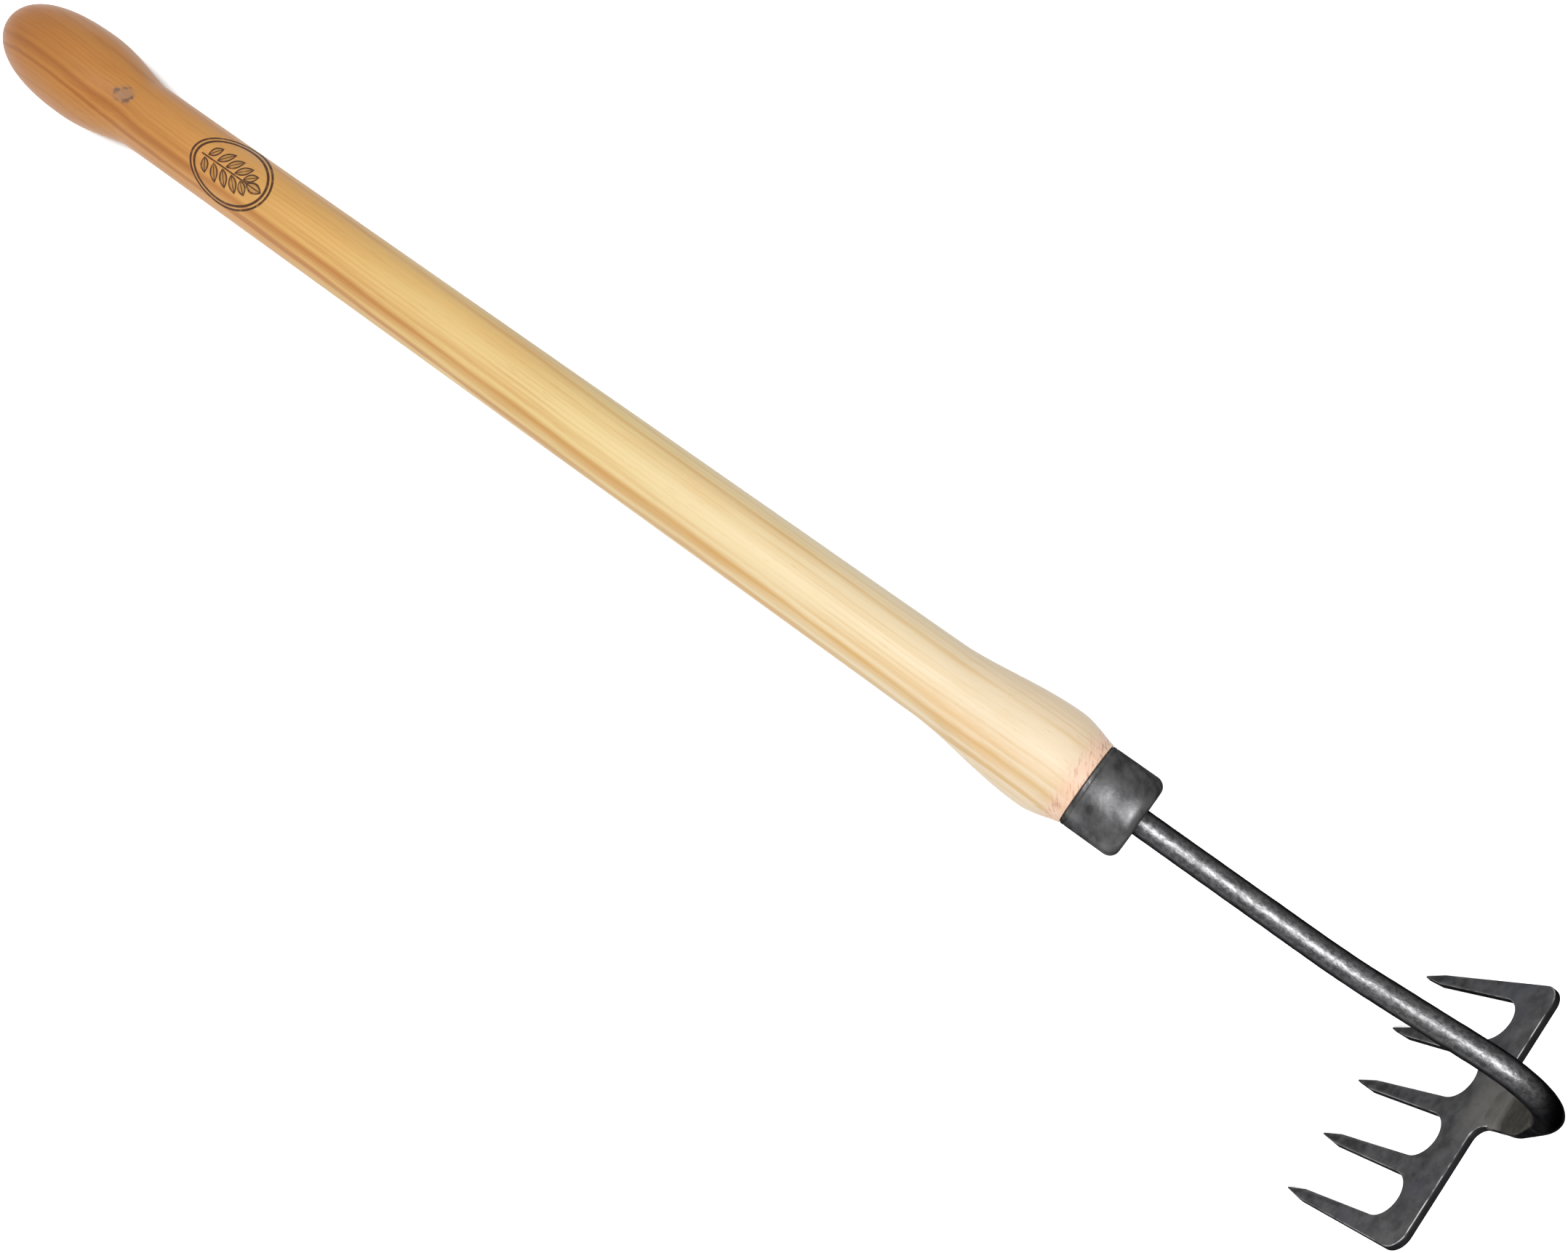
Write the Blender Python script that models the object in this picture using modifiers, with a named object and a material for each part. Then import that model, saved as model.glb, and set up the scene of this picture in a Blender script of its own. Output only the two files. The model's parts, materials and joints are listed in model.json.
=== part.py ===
"""Hand rake with a turned wooden handle, a steel ferrule and a swan-necked tine head.

The tool is laid out along its shaft: X runs from the knob to the head, Z is up, and the
tines point down. The shaft's datum is the ferrule's front face. An empty then tips the
whole tool so that it rests on the floor on its knob and its tine tips.
Lengths are in metres.
"""
import math

import bmesh
import bpy
from mathutils import Matrix

# ---------------------------------------------------------------- driving dimensions
GAP = 0.0003                 # play between two touching pieces

# handle, measured back from the ferrule's front face
HANDLE_LENGTH = 0.5822       # knob end to ferrule face
KNOB_RADIUS = 0.0207
KNOB_CENTRE = 0.5385         # widest point of the knob
KNOB_SQUARENESS = 2.25       # 2 would be an ellipse
KNOB_FRONT = 0.5020          # where the knob runs into the grip
GRIP_RADIUS_REAR = 0.0148
GRIP_RADIUS_FRONT = 0.0157
SWELL_START = 0.0863
SWELL_PEAK = 0.0383
SWELL_RADIUS = 0.0200
SHOULDER = 0.0226            # where the wood meets the ferrule's rear edge
SHOULDER_RADIUS = 0.0166
TENON_RADIUS = 0.0148        # wood inside the ferrule

# ferrule
FERRULE_LENGTH = 0.0223
FERRULE_RADIUS = 0.0164
FERRULE_WALL = 0.0013
FERRULE_FACE = 0.0016        # thickness of the closed front
FERRULE_EDGE = 0.0040        # radius of the front edge

# neck: one round bar, driven into the handle, bent twice and flattened at its end
ROD_RADIUS = 0.0050
TANG_LENGTH = 0.090
TANG_POINT = 0.012
TANG_POINT_RADIUS = 0.0026
RUN_STRAIGHT = 0.0696        # from the ferrule to the first bend
RISE_RADIUS = 0.107
RISE_ANGLE = math.radians(13.8)
RUN_RISING = 0.0363
CROOK_RADIUS = 0.0242
SPLAY = math.radians(1.7)    # the drop leans out a little below the crook
RUN_DOWN = 0.0348
HEEL_RADIUS = 0.0212
TINE_RAKE = math.radians(20.8)    # lean of the tines back towards the handle
FLAT_LEAD = 0.0094           # the flat starts this far above the end of the crook
FLAT_RUN = 0.0329            # and is fully beaten out after this run
PALM_HALF_WIDTH = 0.0069
PALM_HALF_THICKNESS = 0.0017
PALM_SQUARENESS = 4.0

# weld between the flattened end of the bar and the plate's tab
WELD_LENGTH = 0.0014
WELD_CROWN = 0.00035

# tine head, cut from plate; v runs from the back edge to the tips, u across
PLATE_THICKNESS = 0.0030
TINE_COUNT = 5
PITCH_ROOT = 0.0263
PITCH_TIP = 0.0261
TIP_AT = 0.0785
TIP_HALF_WIDTH = 0.0003
POINT_AT = 0.0678            # where each tine starts to close to its point
POINT_HALF_WIDTH = 0.0024
GULLET_CENTRE = 0.0247
GULLET_RADIUS = 0.0093
BACK_HALF_WIDTH = 0.0576
CORNER_RADIUS = 0.0077
TAB_LENGTH = 0.0060
TAB_FILLET = 0.0030

BORE_RADIUS = ROD_RADIUS + GAP
SCREW_STEPS = 48


# ---------------------------------------------------------------- scene helpers
def clear_scene():
    for obj in list(bpy.data.objects):
        bpy.data.objects.remove(obj, do_unlink=True)


def make_material(name, colour, roughness, metallic):
    mat = bpy.data.materials.new(name)
    mat.use_nodes = True
    shader = mat.node_tree.nodes["Principled BSDF"]
    shader.inputs["Base Color"].default_value = (*colour, 1.0)
    shader.inputs["Roughness"].default_value = roughness
    shader.inputs["Metallic"].default_value = metallic
    return mat


def add_object(name, data, material, parent, collection):
    obj = bpy.data.objects.new(name, data)
    obj.data.materials.append(material)
    obj.parent = parent
    collection.objects.link(obj)
    return obj


def smooth(mesh, degrees):
    mesh.shade_smooth()
    mesh.set_sharp_from_angle(angle=math.radians(degrees))


# ---------------------------------------------------------------- turned pieces
def add_turned(name, profile, material, parent, collection, closed=False):
    """A piece turned about the shaft from (radius, distance behind the datum) points."""
    count = len(profile)
    last = count if closed else count - 1
    mesh = bpy.data.meshes.new(name)
    verts = [(radius, 0.0, height) for radius, height in profile]
    mesh.from_pydata(verts, [(i, (i + 1) % count) for i in range(last)], [])
    obj = add_object(name, mesh, material, parent, collection)
    obj.rotation_euler = (0.0, -math.pi / 2, 0.0)
    screw = obj.modifiers.new("turn", "SCREW")
    screw.axis = "Z"
    screw.steps = SCREW_STEPS
    screw.render_steps = SCREW_STEPS
    screw.use_merge_vertices = True
    screw.merge_threshold = 0.00001
    screw.use_smooth_shade = True
    return obj


def knob_profile():
    points = []
    reach = HANDLE_LENGTH - KNOB_CENTRE
    for i in range(13):
        angle = math.pi / 2 * i / 12
        along = math.cos(angle) ** (2 / KNOB_SQUARENESS)
        out = math.sin(angle) ** (2 / KNOB_SQUARENESS)
        points.append((KNOB_RADIUS * out, KNOB_CENTRE + reach * along))
    length = KNOB_CENTRE - KNOB_FRONT
    for i in range(1, 9):
        share = i / 8
        drop = max(math.cos(math.pi / 2 * share), 0.0) ** 1.3
        radius = GRIP_RADIUS_REAR + (KNOB_RADIUS - GRIP_RADIUS_REAR) * drop
        points.append((radius, KNOB_CENTRE - length * share))
    return points


def swell_profile():
    points = []
    for i in range(9):
        share = i / 8
        rise = math.sin(math.pi / 2 * share) ** 1.7
        radius = GRIP_RADIUS_FRONT + (SWELL_RADIUS - GRIP_RADIUS_FRONT) * rise
        points.append((radius, SWELL_START - (SWELL_START - SWELL_PEAK) * share))
    for i in range(1, 8):
        share = i / 7
        drop = max(math.cos(math.pi / 2 * share), 0.0) ** 1.2
        radius = SHOULDER_RADIUS + (SWELL_RADIUS - SHOULDER_RADIUS) * drop
        points.append((radius, SWELL_PEAK - (SWELL_PEAK - SHOULDER) * share))
    return points


def handle_profile():
    tenon_end = FERRULE_FACE + GAP
    points = knob_profile() + swell_profile()
    points += [
        (TENON_RADIUS, SHOULDER),
        (TENON_RADIUS, tenon_end + 0.0012),
        (TENON_RADIUS - 0.0012, tenon_end),
        (BORE_RADIUS, tenon_end),
        (BORE_RADIUS, TANG_LENGTH + 2 * GAP),
        (0.0, TANG_LENGTH + 0.004),
    ]
    return points


def ferrule_profile():
    inner = FERRULE_RADIUS - FERRULE_WALL
    points = [
        (inner, FERRULE_LENGTH),
        (FERRULE_RADIUS - 0.0003, FERRULE_LENGTH),
        (FERRULE_RADIUS, FERRULE_LENGTH - 0.0003),
    ]
    for i in range(9):
        angle = math.pi / 2 * i / 8
        radius = FERRULE_RADIUS - FERRULE_EDGE * (1 - math.cos(angle))
        points.append((radius, FERRULE_EDGE * (1 - math.sin(angle))))
    points += [(BORE_RADIUS, 0.0), (BORE_RADIUS, FERRULE_FACE)]
    points += [(inner - 0.0009, FERRULE_FACE), (inner, FERRULE_FACE + 0.0009)]
    return points


# ---------------------------------------------------------------- bent bar
def walk(steps):
    """Centreline of a planar bar as (x, z, heading, distance), from straights and bends."""
    x, z, heading, distance = 0.0, 0.0, 0.0, 0.0
    points = [(x, z, heading, distance)]
    for radius, amount, pieces in steps:
        for _ in range(pieces):
            if radius == 0.0:
                run = amount / pieces
                x += run * math.cos(heading)
                z += run * math.sin(heading)
            else:
                turn = amount / pieces
                run = radius * abs(turn)
                chord = 2 * radius * math.sin(abs(turn) / 2)
                x += chord * math.cos(heading + turn / 2)
                z += chord * math.sin(heading + turn / 2)
                heading += turn
            distance += run
            points.append((x, z, heading, distance))
    return points


def neck_path():
    return walk([
        (0.0, RUN_STRAIGHT, 3),
        (RISE_RADIUS, RISE_ANGLE, 5),
        (0.0, RUN_RISING, 3),
        (CROOK_RADIUS, -(RISE_ANGLE + math.pi / 2 - SPLAY), 14),
        (0.0, RUN_DOWN, 7),
        (HEEL_RADIUS, -(SPLAY + TINE_RAKE), 5),
    ])


def neck_section(distance, total):
    """Half thickness, half width and squareness of the bar: round, then beaten flat."""
    drop = RUN_DOWN + HEEL_RADIUS * (SPLAY + TINE_RAKE)
    share = (distance - (total - drop - FLAT_LEAD)) / FLAT_RUN
    share = min(max(share, 0.0), 1.0)
    blend = share * share * (3 - 2 * share)
    half_thickness = ROD_RADIUS + (PALM_HALF_THICKNESS - ROD_RADIUS) * blend
    half_width = ROD_RADIUS + (PALM_HALF_WIDTH - ROD_RADIUS) * blend
    return half_thickness, half_width, 2.0 + (PALM_SQUARENESS - 2.0) * blend


def ring_points(x, z, heading, half_thickness, half_width, squareness, sides=24):
    """One cross-section of a bar lying in the XZ plane."""
    points = []
    for i in range(sides):
        angle = 2 * math.pi * i / sides
        c, s = math.cos(angle), math.sin(angle)
        up = math.copysign(abs(c) ** (2 / squareness), c) * half_thickness
        side = math.copysign(abs(s) ** (2 / squareness), s) * half_width
        points.append((x - up * math.sin(heading), side, z + up * math.cos(heading)))
    return points


def loft_mesh(name, rings):
    mesh = bpy.data.meshes.new(name)
    bm = bmesh.new()
    loops = [[bm.verts.new(point) for point in ring] for ring in rings]
    sides = len(loops[0])
    for first, second in zip(loops, loops[1:]):
        for i in range(sides):
            j = (i + 1) % sides
            bm.faces.new((first[i], first[j], second[j], second[i]))
    bm.faces.new(loops[0])
    bm.faces.new(list(reversed(loops[-1])))
    bmesh.ops.recalc_face_normals(bm, faces=bm.faces)
    bm.to_mesh(mesh)
    bm.free()
    return mesh


def neck_rod_mesh():
    path = neck_path()
    total = path[-1][3]
    rings = []
    tang = [(TANG_LENGTH, TANG_POINT_RADIUS), (TANG_LENGTH - TANG_POINT, ROD_RADIUS)]
    tang += [(TANG_LENGTH * 0.5, ROD_RADIUS)]
    for back, radius in tang:
        rings.append(ring_points(-back, 0.0, 0.0, radius, radius, 2.0))
    for x, z, heading, distance in path:
        rings.append(ring_points(x, z, heading, *neck_section(distance, total)))
    return loft_mesh("neck_rod", rings)


def weld_mesh(end):
    """A short crowned bead that carries the bar's flat end on to the plate."""
    x, z, heading, _ = end
    rings = []
    for i in range(7):
        share = i / 6
        crown = WELD_CROWN * math.sin(math.pi * share)
        along = GAP + WELD_LENGTH * share
        rings.append(ring_points(
            x + along * math.cos(heading),
            z + along * math.sin(heading),
            heading,
            PALM_HALF_THICKNESS + crown,
            PALM_HALF_WIDTH + crown,
            PALM_SQUARENESS,
        ))
    return loft_mesh("neck_weld", rings)


# ---------------------------------------------------------------- tine head
def arc(cu, cv, radius, start, end, pieces):
    """Points on a circle; angles are in degrees, from +u towards +v."""
    points = []
    for i in range(pieces + 1):
        angle = math.radians(start + (end - start) * i / pieces)
        points.append((cu + radius * math.cos(angle), cv + radius * math.sin(angle)))
    return points


def gullet_turn(offset):
    """How far the gullet's arc turns past level to run smoothly into a tine's flank."""
    du = offset
    dv = POINT_AT - GULLET_CENTRE
    reach = math.hypot(du, dv)
    return math.degrees(math.atan2(dv, du) - math.acos(GULLET_RADIUS / reach))


def half_outline():
    """The outline on the +u side, from the middle tine's tip round to the neck tab."""
    middle = (TINE_COUNT - 1) // 2
    points = [(TIP_HALF_WIDTH, TIP_AT), (POINT_HALF_WIDTH, POINT_AT)]
    for k in range(middle):
        gullet = (k + 0.5) * PITCH_ROOT
        left = gullet_turn(gullet - k * PITCH_TIP - POINT_HALF_WIDTH)
        right = gullet_turn((k + 1) * PITCH_TIP - POINT_HALF_WIDTH - gullet)
        points += arc(gullet, GULLET_CENTRE, GULLET_RADIUS, 180 - left, 360 + right, 16)
        tip = (k + 1) * PITCH_TIP
        points.append((tip - POINT_HALF_WIDTH, POINT_AT))
        points.append((tip - TIP_HALF_WIDTH, TIP_AT))
        points.append((tip + TIP_HALF_WIDTH, TIP_AT))
        points.append((tip + POINT_HALF_WIDTH, POINT_AT))
    corner = BACK_HALF_WIDTH - CORNER_RADIUS
    points += arc(corner, CORNER_RADIUS, CORNER_RADIUS, 0, -90, 8)
    fillet = PALM_HALF_WIDTH + TAB_FILLET
    points += arc(fillet, -TAB_FILLET, TAB_FILLET, 90, 180, 6)
    points.append((PALM_HALF_WIDTH, -TAB_LENGTH))
    return points


def head_outline():
    right = half_outline()
    left = [(-u, v) for u, v in reversed(right)]
    return right + left


def head_curve():
    curve = bpy.data.curves.new("tine_head", "CURVE")
    curve.dimensions = "2D"
    curve.fill_mode = "BOTH"
    curve.extrude = PLATE_THICKNESS / 2
    outline = head_outline()
    spline = curve.splines.new("POLY")
    spline.points.add(len(outline) - 1)
    for point, (u, v) in zip(spline.points, outline):
        point.co = (u, v, 0.0, 1.0)
    spline.use_cyclic_u = True
    return curve


# ---------------------------------------------------------------- resting pose
def side_view(back_edge, tine_heading):
    """Points of the tool's outline in the XZ plane that can touch the floor or the box."""
    points = []
    for radius, back in handle_profile():
        points.append((-back, -radius))
        points.append((-back, radius))
    path = neck_path()
    for x, z, heading, distance in path:
        half = neck_section(distance, path[-1][3])[0]
        points.append((x - half * math.sin(heading), z + half * math.cos(heading)))
        points.append((x + half * math.sin(heading), z - half * math.cos(heading)))
    c, s = math.cos(tine_heading), math.sin(tine_heading)
    for along in (0.0, TIP_AT):
        for side in (-PLATE_THICKNESS / 2, PLATE_THICKNESS / 2):
            x = back_edge[0] + along * c - side * s
            points.append((x, back_edge[1] + along * s + side * c))
    return points


def resting_pose(points):
    """Tilt about Y, and the datum's place, so that knob and tips stand on the floor."""
    best = None
    for tip in points:
        if tip[0] < 0.0:
            continue
        slopes = [(p[1] - tip[1]) / (tip[0] - p[0]) for p in points if p[0] < -0.3]
        tilt = math.atan(min(slopes))
        if best is None or tilt > best:
            best = tilt
    c, s = math.cos(best), math.sin(best)
    xs = [x * c - z * s for x, z in points]
    zs = [x * s + z * c for x, z in points]
    return best, -(min(xs) + max(xs)) / 2, -min(zs)


# ---------------------------------------------------------------- build
def build():
    clear_scene()
    collection = bpy.data.collections.new("hand_rake")
    bpy.context.scene.collection.children.link(collection)

    wood = make_material("handle_wood", (0.72, 0.47, 0.22), 0.45, 0.0)
    cap_steel = make_material("ferrule_steel", (0.09, 0.085, 0.085), 0.45, 0.9)
    bar_steel = make_material("neck_steel", (0.06, 0.06, 0.062), 0.42, 0.9)
    bead_steel = make_material("weld_steel", (0.05, 0.05, 0.052), 0.5, 0.9)
    plate_steel = make_material("head_steel", (0.055, 0.055, 0.06), 0.5, 0.85)

    end = neck_path()[-1]
    heading = end[2]
    reach = WELD_LENGTH + 2 * GAP + TAB_LENGTH
    back_edge = (end[0] + reach * math.cos(heading), end[1] + reach * math.sin(heading))
    tilt, shift, lift = resting_pose(side_view(back_edge, heading))

    rest = bpy.data.objects.new("rest_pose", None)
    rest.location = (shift, 0.0, lift)
    rest.rotation_euler = (0.0, -tilt, 0.0)
    collection.objects.link(rest)

    add_turned("handle", handle_profile(), wood, rest, collection)
    add_turned("ferrule", ferrule_profile(), cap_steel, rest, collection, closed=True)

    bar = neck_rod_mesh()
    smooth(bar, 40)
    add_object("neck_rod", bar, bar_steel, rest, collection)

    bead = weld_mesh(end)
    smooth(bead, 60)
    add_object("neck_weld", bead, bead_steel, rest, collection)

    head = add_object("tine_head", head_curve(), plate_steel, rest, collection)
    across = (0.0, 1.0, 0.0)
    along = (math.cos(heading), 0.0, math.sin(heading))
    normal = (math.sin(heading), 0.0, -math.cos(heading))
    turn = Matrix((across, along, normal)).transposed()
    head.location = (back_edge[0], 0.0, back_edge[1])
    head.rotation_euler = turn.to_euler()


build()
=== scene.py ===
"""Looks for the hand rake: detailed meshes, procedural materials, a pale floor and soft light.

Meshes are first laid out in the tool's own axes, in metres: X runs along the shaft towards the
head, Z is up and zero is the ferrule's front face. They are then set into the row frame.
Materials read the same axes in millimetres.
"""
import json
import math

import bmesh
import bpy
from mathutils import Matrix, Vector, noise


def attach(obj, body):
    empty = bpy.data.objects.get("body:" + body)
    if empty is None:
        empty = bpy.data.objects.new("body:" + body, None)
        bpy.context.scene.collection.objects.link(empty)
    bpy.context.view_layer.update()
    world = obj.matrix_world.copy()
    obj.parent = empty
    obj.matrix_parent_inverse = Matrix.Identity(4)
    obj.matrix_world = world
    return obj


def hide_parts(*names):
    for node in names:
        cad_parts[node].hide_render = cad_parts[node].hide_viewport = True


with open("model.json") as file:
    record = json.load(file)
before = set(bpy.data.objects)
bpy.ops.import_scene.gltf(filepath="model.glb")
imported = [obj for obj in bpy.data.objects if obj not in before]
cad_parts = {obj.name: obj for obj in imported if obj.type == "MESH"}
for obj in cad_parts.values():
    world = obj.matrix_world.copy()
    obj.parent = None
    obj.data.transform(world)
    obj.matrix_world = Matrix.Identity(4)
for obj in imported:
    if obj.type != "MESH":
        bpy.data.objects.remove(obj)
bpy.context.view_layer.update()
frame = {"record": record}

# ---------------------------------------------------------------- driving dimensions
GRIP_POINT_BACK = 0.300      # the record's grip point lies this far behind the ferrule's face

HANDLE_LENGTH = 0.5822
KNOB_RADIUS = 0.0207
KNOB_CENTRE = 0.5385
KNOB_SQUARENESS = 2.40       # 2 would be a plain ellipse
KNOB_FRONT = 0.5020
KNOB_FALL = 1.3              # power that shapes the waist in front of the knob
GRIP_RADIUS_REAR = 0.0148
GRIP_RADIUS_FRONT = 0.0157
SWELL_START = 0.0863
SWELL_PEAK = 0.0383
SWELL_RADIUS = 0.0200
SWELL_RISE = 1.7             # powers that shape the swell's two sides
SWELL_FALL = 1.2
SHOULDER = 0.0226
SHOULDER_RADIUS = 0.0166
TENON_RADIUS = 0.0148
BORE_RADIUS = 0.0053
BORE_END = 0.0906
BORE_POINT = 0.003           # left by the drill's point
CLEARANCE = 0.0003           # between the tenon and the ferrule's face
TURNED_SIDES = 128
TURNED_STEP = 0.004          # longest stretch of a turned outline without a point

FERRULE_LENGTH = 0.0223
FERRULE_RADIUS = 0.0164
FERRULE_WALL = 0.0013
FERRULE_FACE = 0.0016
FERRULE_EDGE = 0.0040
FERRULE_BREAK = 0.0004       # broken rear edge
FERRULE_HOLE_BREAK = 0.0005  # eased edge of the bar's hole
FERRULE_INNER_FILLET = 0.0009
LIP_LENGTH = 0.0017          # the dark band at the ferrule's rear edge
GROOVE_DEPTH = 0.00018
GROOVE_HALF_WIDTH = 0.0003

ROD_RADIUS = 0.0050
TANG_LENGTH = 0.090
TANG_POINT = 0.012
TANG_POINT_RADIUS = 0.0026
RUN_STRAIGHT = 0.0696
RISE_RADIUS = 0.107
RISE_ANGLE = math.radians(13.8)
RUN_RISING = 0.0363
CROOK_RADIUS = 0.0242
SPLAY = math.radians(1.7)
RUN_DOWN = 0.0348
HEEL_RADIUS = 0.0212
TINE_RAKE = math.radians(20.8)
FLAT_LEAD = 0.0100           # the flat starts this far above the end of the crook
FLAT_RUN = 0.0304            # and is fully beaten out after this run
FLAT_SETTLE = 0.012          # from here down the flat narrows again and drifts aside
FLAT_HALF_WIDTH = 0.0098     # at its widest
FLAT_DRIFT = 0.0032          # how far it has wandered to the right by then
PALM_HALF_WIDTH = 0.0084     # at the weld
PALM_DRIFT = 0.0052          # how far the palm stands right of the plate's middle
PALM_HALF_THICKNESS = 0.0017
PALM_SQUARENESS = 4.0
DIMPLES = [                  # forging dimples: cycles a metre, depth
    (300.0, 0.00006),
    (800.0, 0.00002),
]
PATH_STEP = 0.0007           # spacing of the neck's sections
RING_SIDES = 64
WELD_LENGTH = 0.0020
WELD_LAP = 0.0012            # how far it laps back over the bar's end
WELD_FADE = 0.0050           # it thins out over this much of the plate's tab
WELD_SWELL = 0.00020
WELD_SINK = 0.00005          # its two ends lie this far under the surface

PLATE_THICKNESS = 0.0030
TINE_COUNT = 5
PITCH_ROOT = 0.0263
PITCH_TIP = 0.0261
TIP_AT = 0.0785
TIP_HALF_WIDTH = 0.0003
POINT_AT = 0.0678
POINT_HALF_WIDTH = 0.0024
GULLET_CENTRE = 0.0247
GULLET_RADIUS = 0.0093
BACK_HALF_WIDTH = 0.0576
CORNER_RADIUS = 0.0077
TAB_LENGTH = 0.0060
TAB_FILLET = 0.0058
EDGE_ROUND = 0.00065         # broken edges of the plate
EDGE_STEPS = 4
GULLET_STEPS = 40
CORNER_STEPS = 24
FILLET_STEPS = 16
TIP_ROUND_SHARE = 0.25       # the rounding shrinks to this share at the tines' tips

# camera, in the tool's axes
EYE = Vector((0.0054, -0.1484, 0.5675))
GAZE = Vector((-0.24814, 0.21748, -0.94400))
RIGHT = Vector((0.78575, 0.61513, -0.06483))
FIELD_WIDTH = 0.9576         # width of the view at unit distance
SENSOR_WIDTH = 36.0          # in mm

# floor and light, in the row frame
FLOOR_HALF_WIDTH = 3.0
FLOOR_TONE = 0.93
SKY_STRENGTH = 0.62
KEY_PLACE = (0.0, -0.42, 1.60)
KEY_TARGET = (0.0, 0.0, 0.0)
KEY_LENGTH = 1.55
KEY_WIDTH = 0.45
KEY_POWER = 52.0


# ---------------------------------------------------------------- the tool in the row frame
def tool_pose():
    """Matrix from the tool's axes to the row frame, from the record's grip mount."""
    mounts = {mount["name"]: mount for mount in frame["record"]["mounts"]}
    along = Vector(mounts["hand_grip"]["axis"]).normalized()
    across = Vector((0.0, 1.0, 0.0))
    up = along.cross(across)
    datum = Vector(mounts["hand_grip"]["pos_m"]) + along * GRIP_POINT_BACK
    turn = Matrix((along, across, up)).transposed()
    return Matrix.Translation(datum) @ turn.to_4x4()


POSE = tool_pose()


# ---------------------------------------------------------------- mesh helpers
def make_piece(name, verts, faces, material, nodes, sharp=35.0):
    """A named piece from tool-axis points, standing for CAD nodes and riding on the root body."""
    mesh = bpy.data.meshes.new(name)
    mesh.from_pydata([tuple(v) for v in verts], [], faces)
    mesh.transform(POSE)
    mesh.validate()
    bm = bmesh.new()
    bm.from_mesh(mesh)
    bmesh.ops.recalc_face_normals(bm, faces=bm.faces)
    bm.to_mesh(mesh)
    bm.free()
    mesh.shade_smooth()
    mesh.set_sharp_from_angle(angle=math.radians(sharp))
    mesh.materials.append(material)
    obj = bpy.data.objects.new(name, mesh)
    bpy.context.scene.collection.objects.link(obj)
    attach(obj, "root")
    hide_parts(*nodes)
    return obj


def turned(profile, closed):
    """Points and faces of a piece turned about X from (distance behind the datum, radius)."""
    sides = TURNED_SIDES
    verts, rings = [], []
    for back, radius in profile:
        if radius < 1e-6:
            rings.append([len(verts)] * sides)
            verts.append((-back, 0.0, 0.0))
            continue
        rings.append(list(range(len(verts), len(verts) + sides)))
        for i in range(sides):
            angle = 2 * math.pi * i / sides
            verts.append((-back, radius * math.sin(angle), radius * math.cos(angle)))
    pairs = list(zip(rings, rings[1:]))
    if closed:
        pairs.append((rings[-1], rings[0]))
    faces = []
    for first, second in pairs:
        for i in range(sides):
            j = (i + 1) % sides
            face = [first[i], first[j], second[j], second[i]]
            faces.append(list(dict.fromkeys(face)))
    return verts, faces


def refine(profile, step):
    """Adds points along a profile's long straight stretches."""
    fine = [profile[0]]
    for (a, ra), (b, rb) in zip(profile, profile[1:]):
        count = max(1, round(math.hypot(b - a, rb - ra) / step))
        for i in range(1, count + 1):
            share = i / count
            fine.append((a + (b - a) * share, ra + (rb - ra) * share))
    return fine


# ---------------------------------------------------------------- handle
def handle_profile():
    points = []
    reach = HANDLE_LENGTH - KNOB_CENTRE
    for i in range(41):
        angle = math.pi / 2 * i / 40
        along = max(math.cos(angle), 0.0) ** (2 / KNOB_SQUARENESS)
        out = math.sin(angle) ** (2 / KNOB_SQUARENESS)
        points.append((KNOB_CENTRE + reach * along, KNOB_RADIUS * out))
    length = KNOB_CENTRE - KNOB_FRONT
    for i in range(1, 31):
        share = i / 30
        drop = max(math.cos(math.pi / 2 * share), 0.0) ** KNOB_FALL
        radius = GRIP_RADIUS_REAR + (KNOB_RADIUS - GRIP_RADIUS_REAR) * drop
        points.append((KNOB_CENTRE - length * share, radius))
    for i in range(1, 41):
        share = i / 40
        radius = GRIP_RADIUS_REAR + (GRIP_RADIUS_FRONT - GRIP_RADIUS_REAR) * share
        points.append((KNOB_FRONT + (SWELL_START - KNOB_FRONT) * share, radius))
    for i in range(1, 25):
        share = i / 24
        rise = math.sin(math.pi / 2 * share) ** SWELL_RISE
        radius = GRIP_RADIUS_FRONT + (SWELL_RADIUS - GRIP_RADIUS_FRONT) * rise
        points.append((SWELL_START - (SWELL_START - SWELL_PEAK) * share, radius))
    for i in range(1, 19):
        share = i / 18
        drop = max(math.cos(math.pi / 2 * share), 0.0) ** SWELL_FALL
        radius = SHOULDER_RADIUS + (SWELL_RADIUS - SHOULDER_RADIUS) * drop
        points.append((SWELL_PEAK - (SWELL_PEAK - SHOULDER) * share, radius))
    return points


def build_handle(material):
    tenon_end = FERRULE_FACE + CLEARANCE
    profile = refine(handle_profile(), TURNED_STEP)
    profile += [
        (SHOULDER, TENON_RADIUS),
        (tenon_end, TENON_RADIUS),
        (tenon_end, BORE_RADIUS),
        (BORE_END, BORE_RADIUS),
        (BORE_END + BORE_POINT, 0.0),
    ]
    verts, faces = turned(profile, closed=False)
    return make_piece("handle", verts, faces, material, ["handle"])


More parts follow.
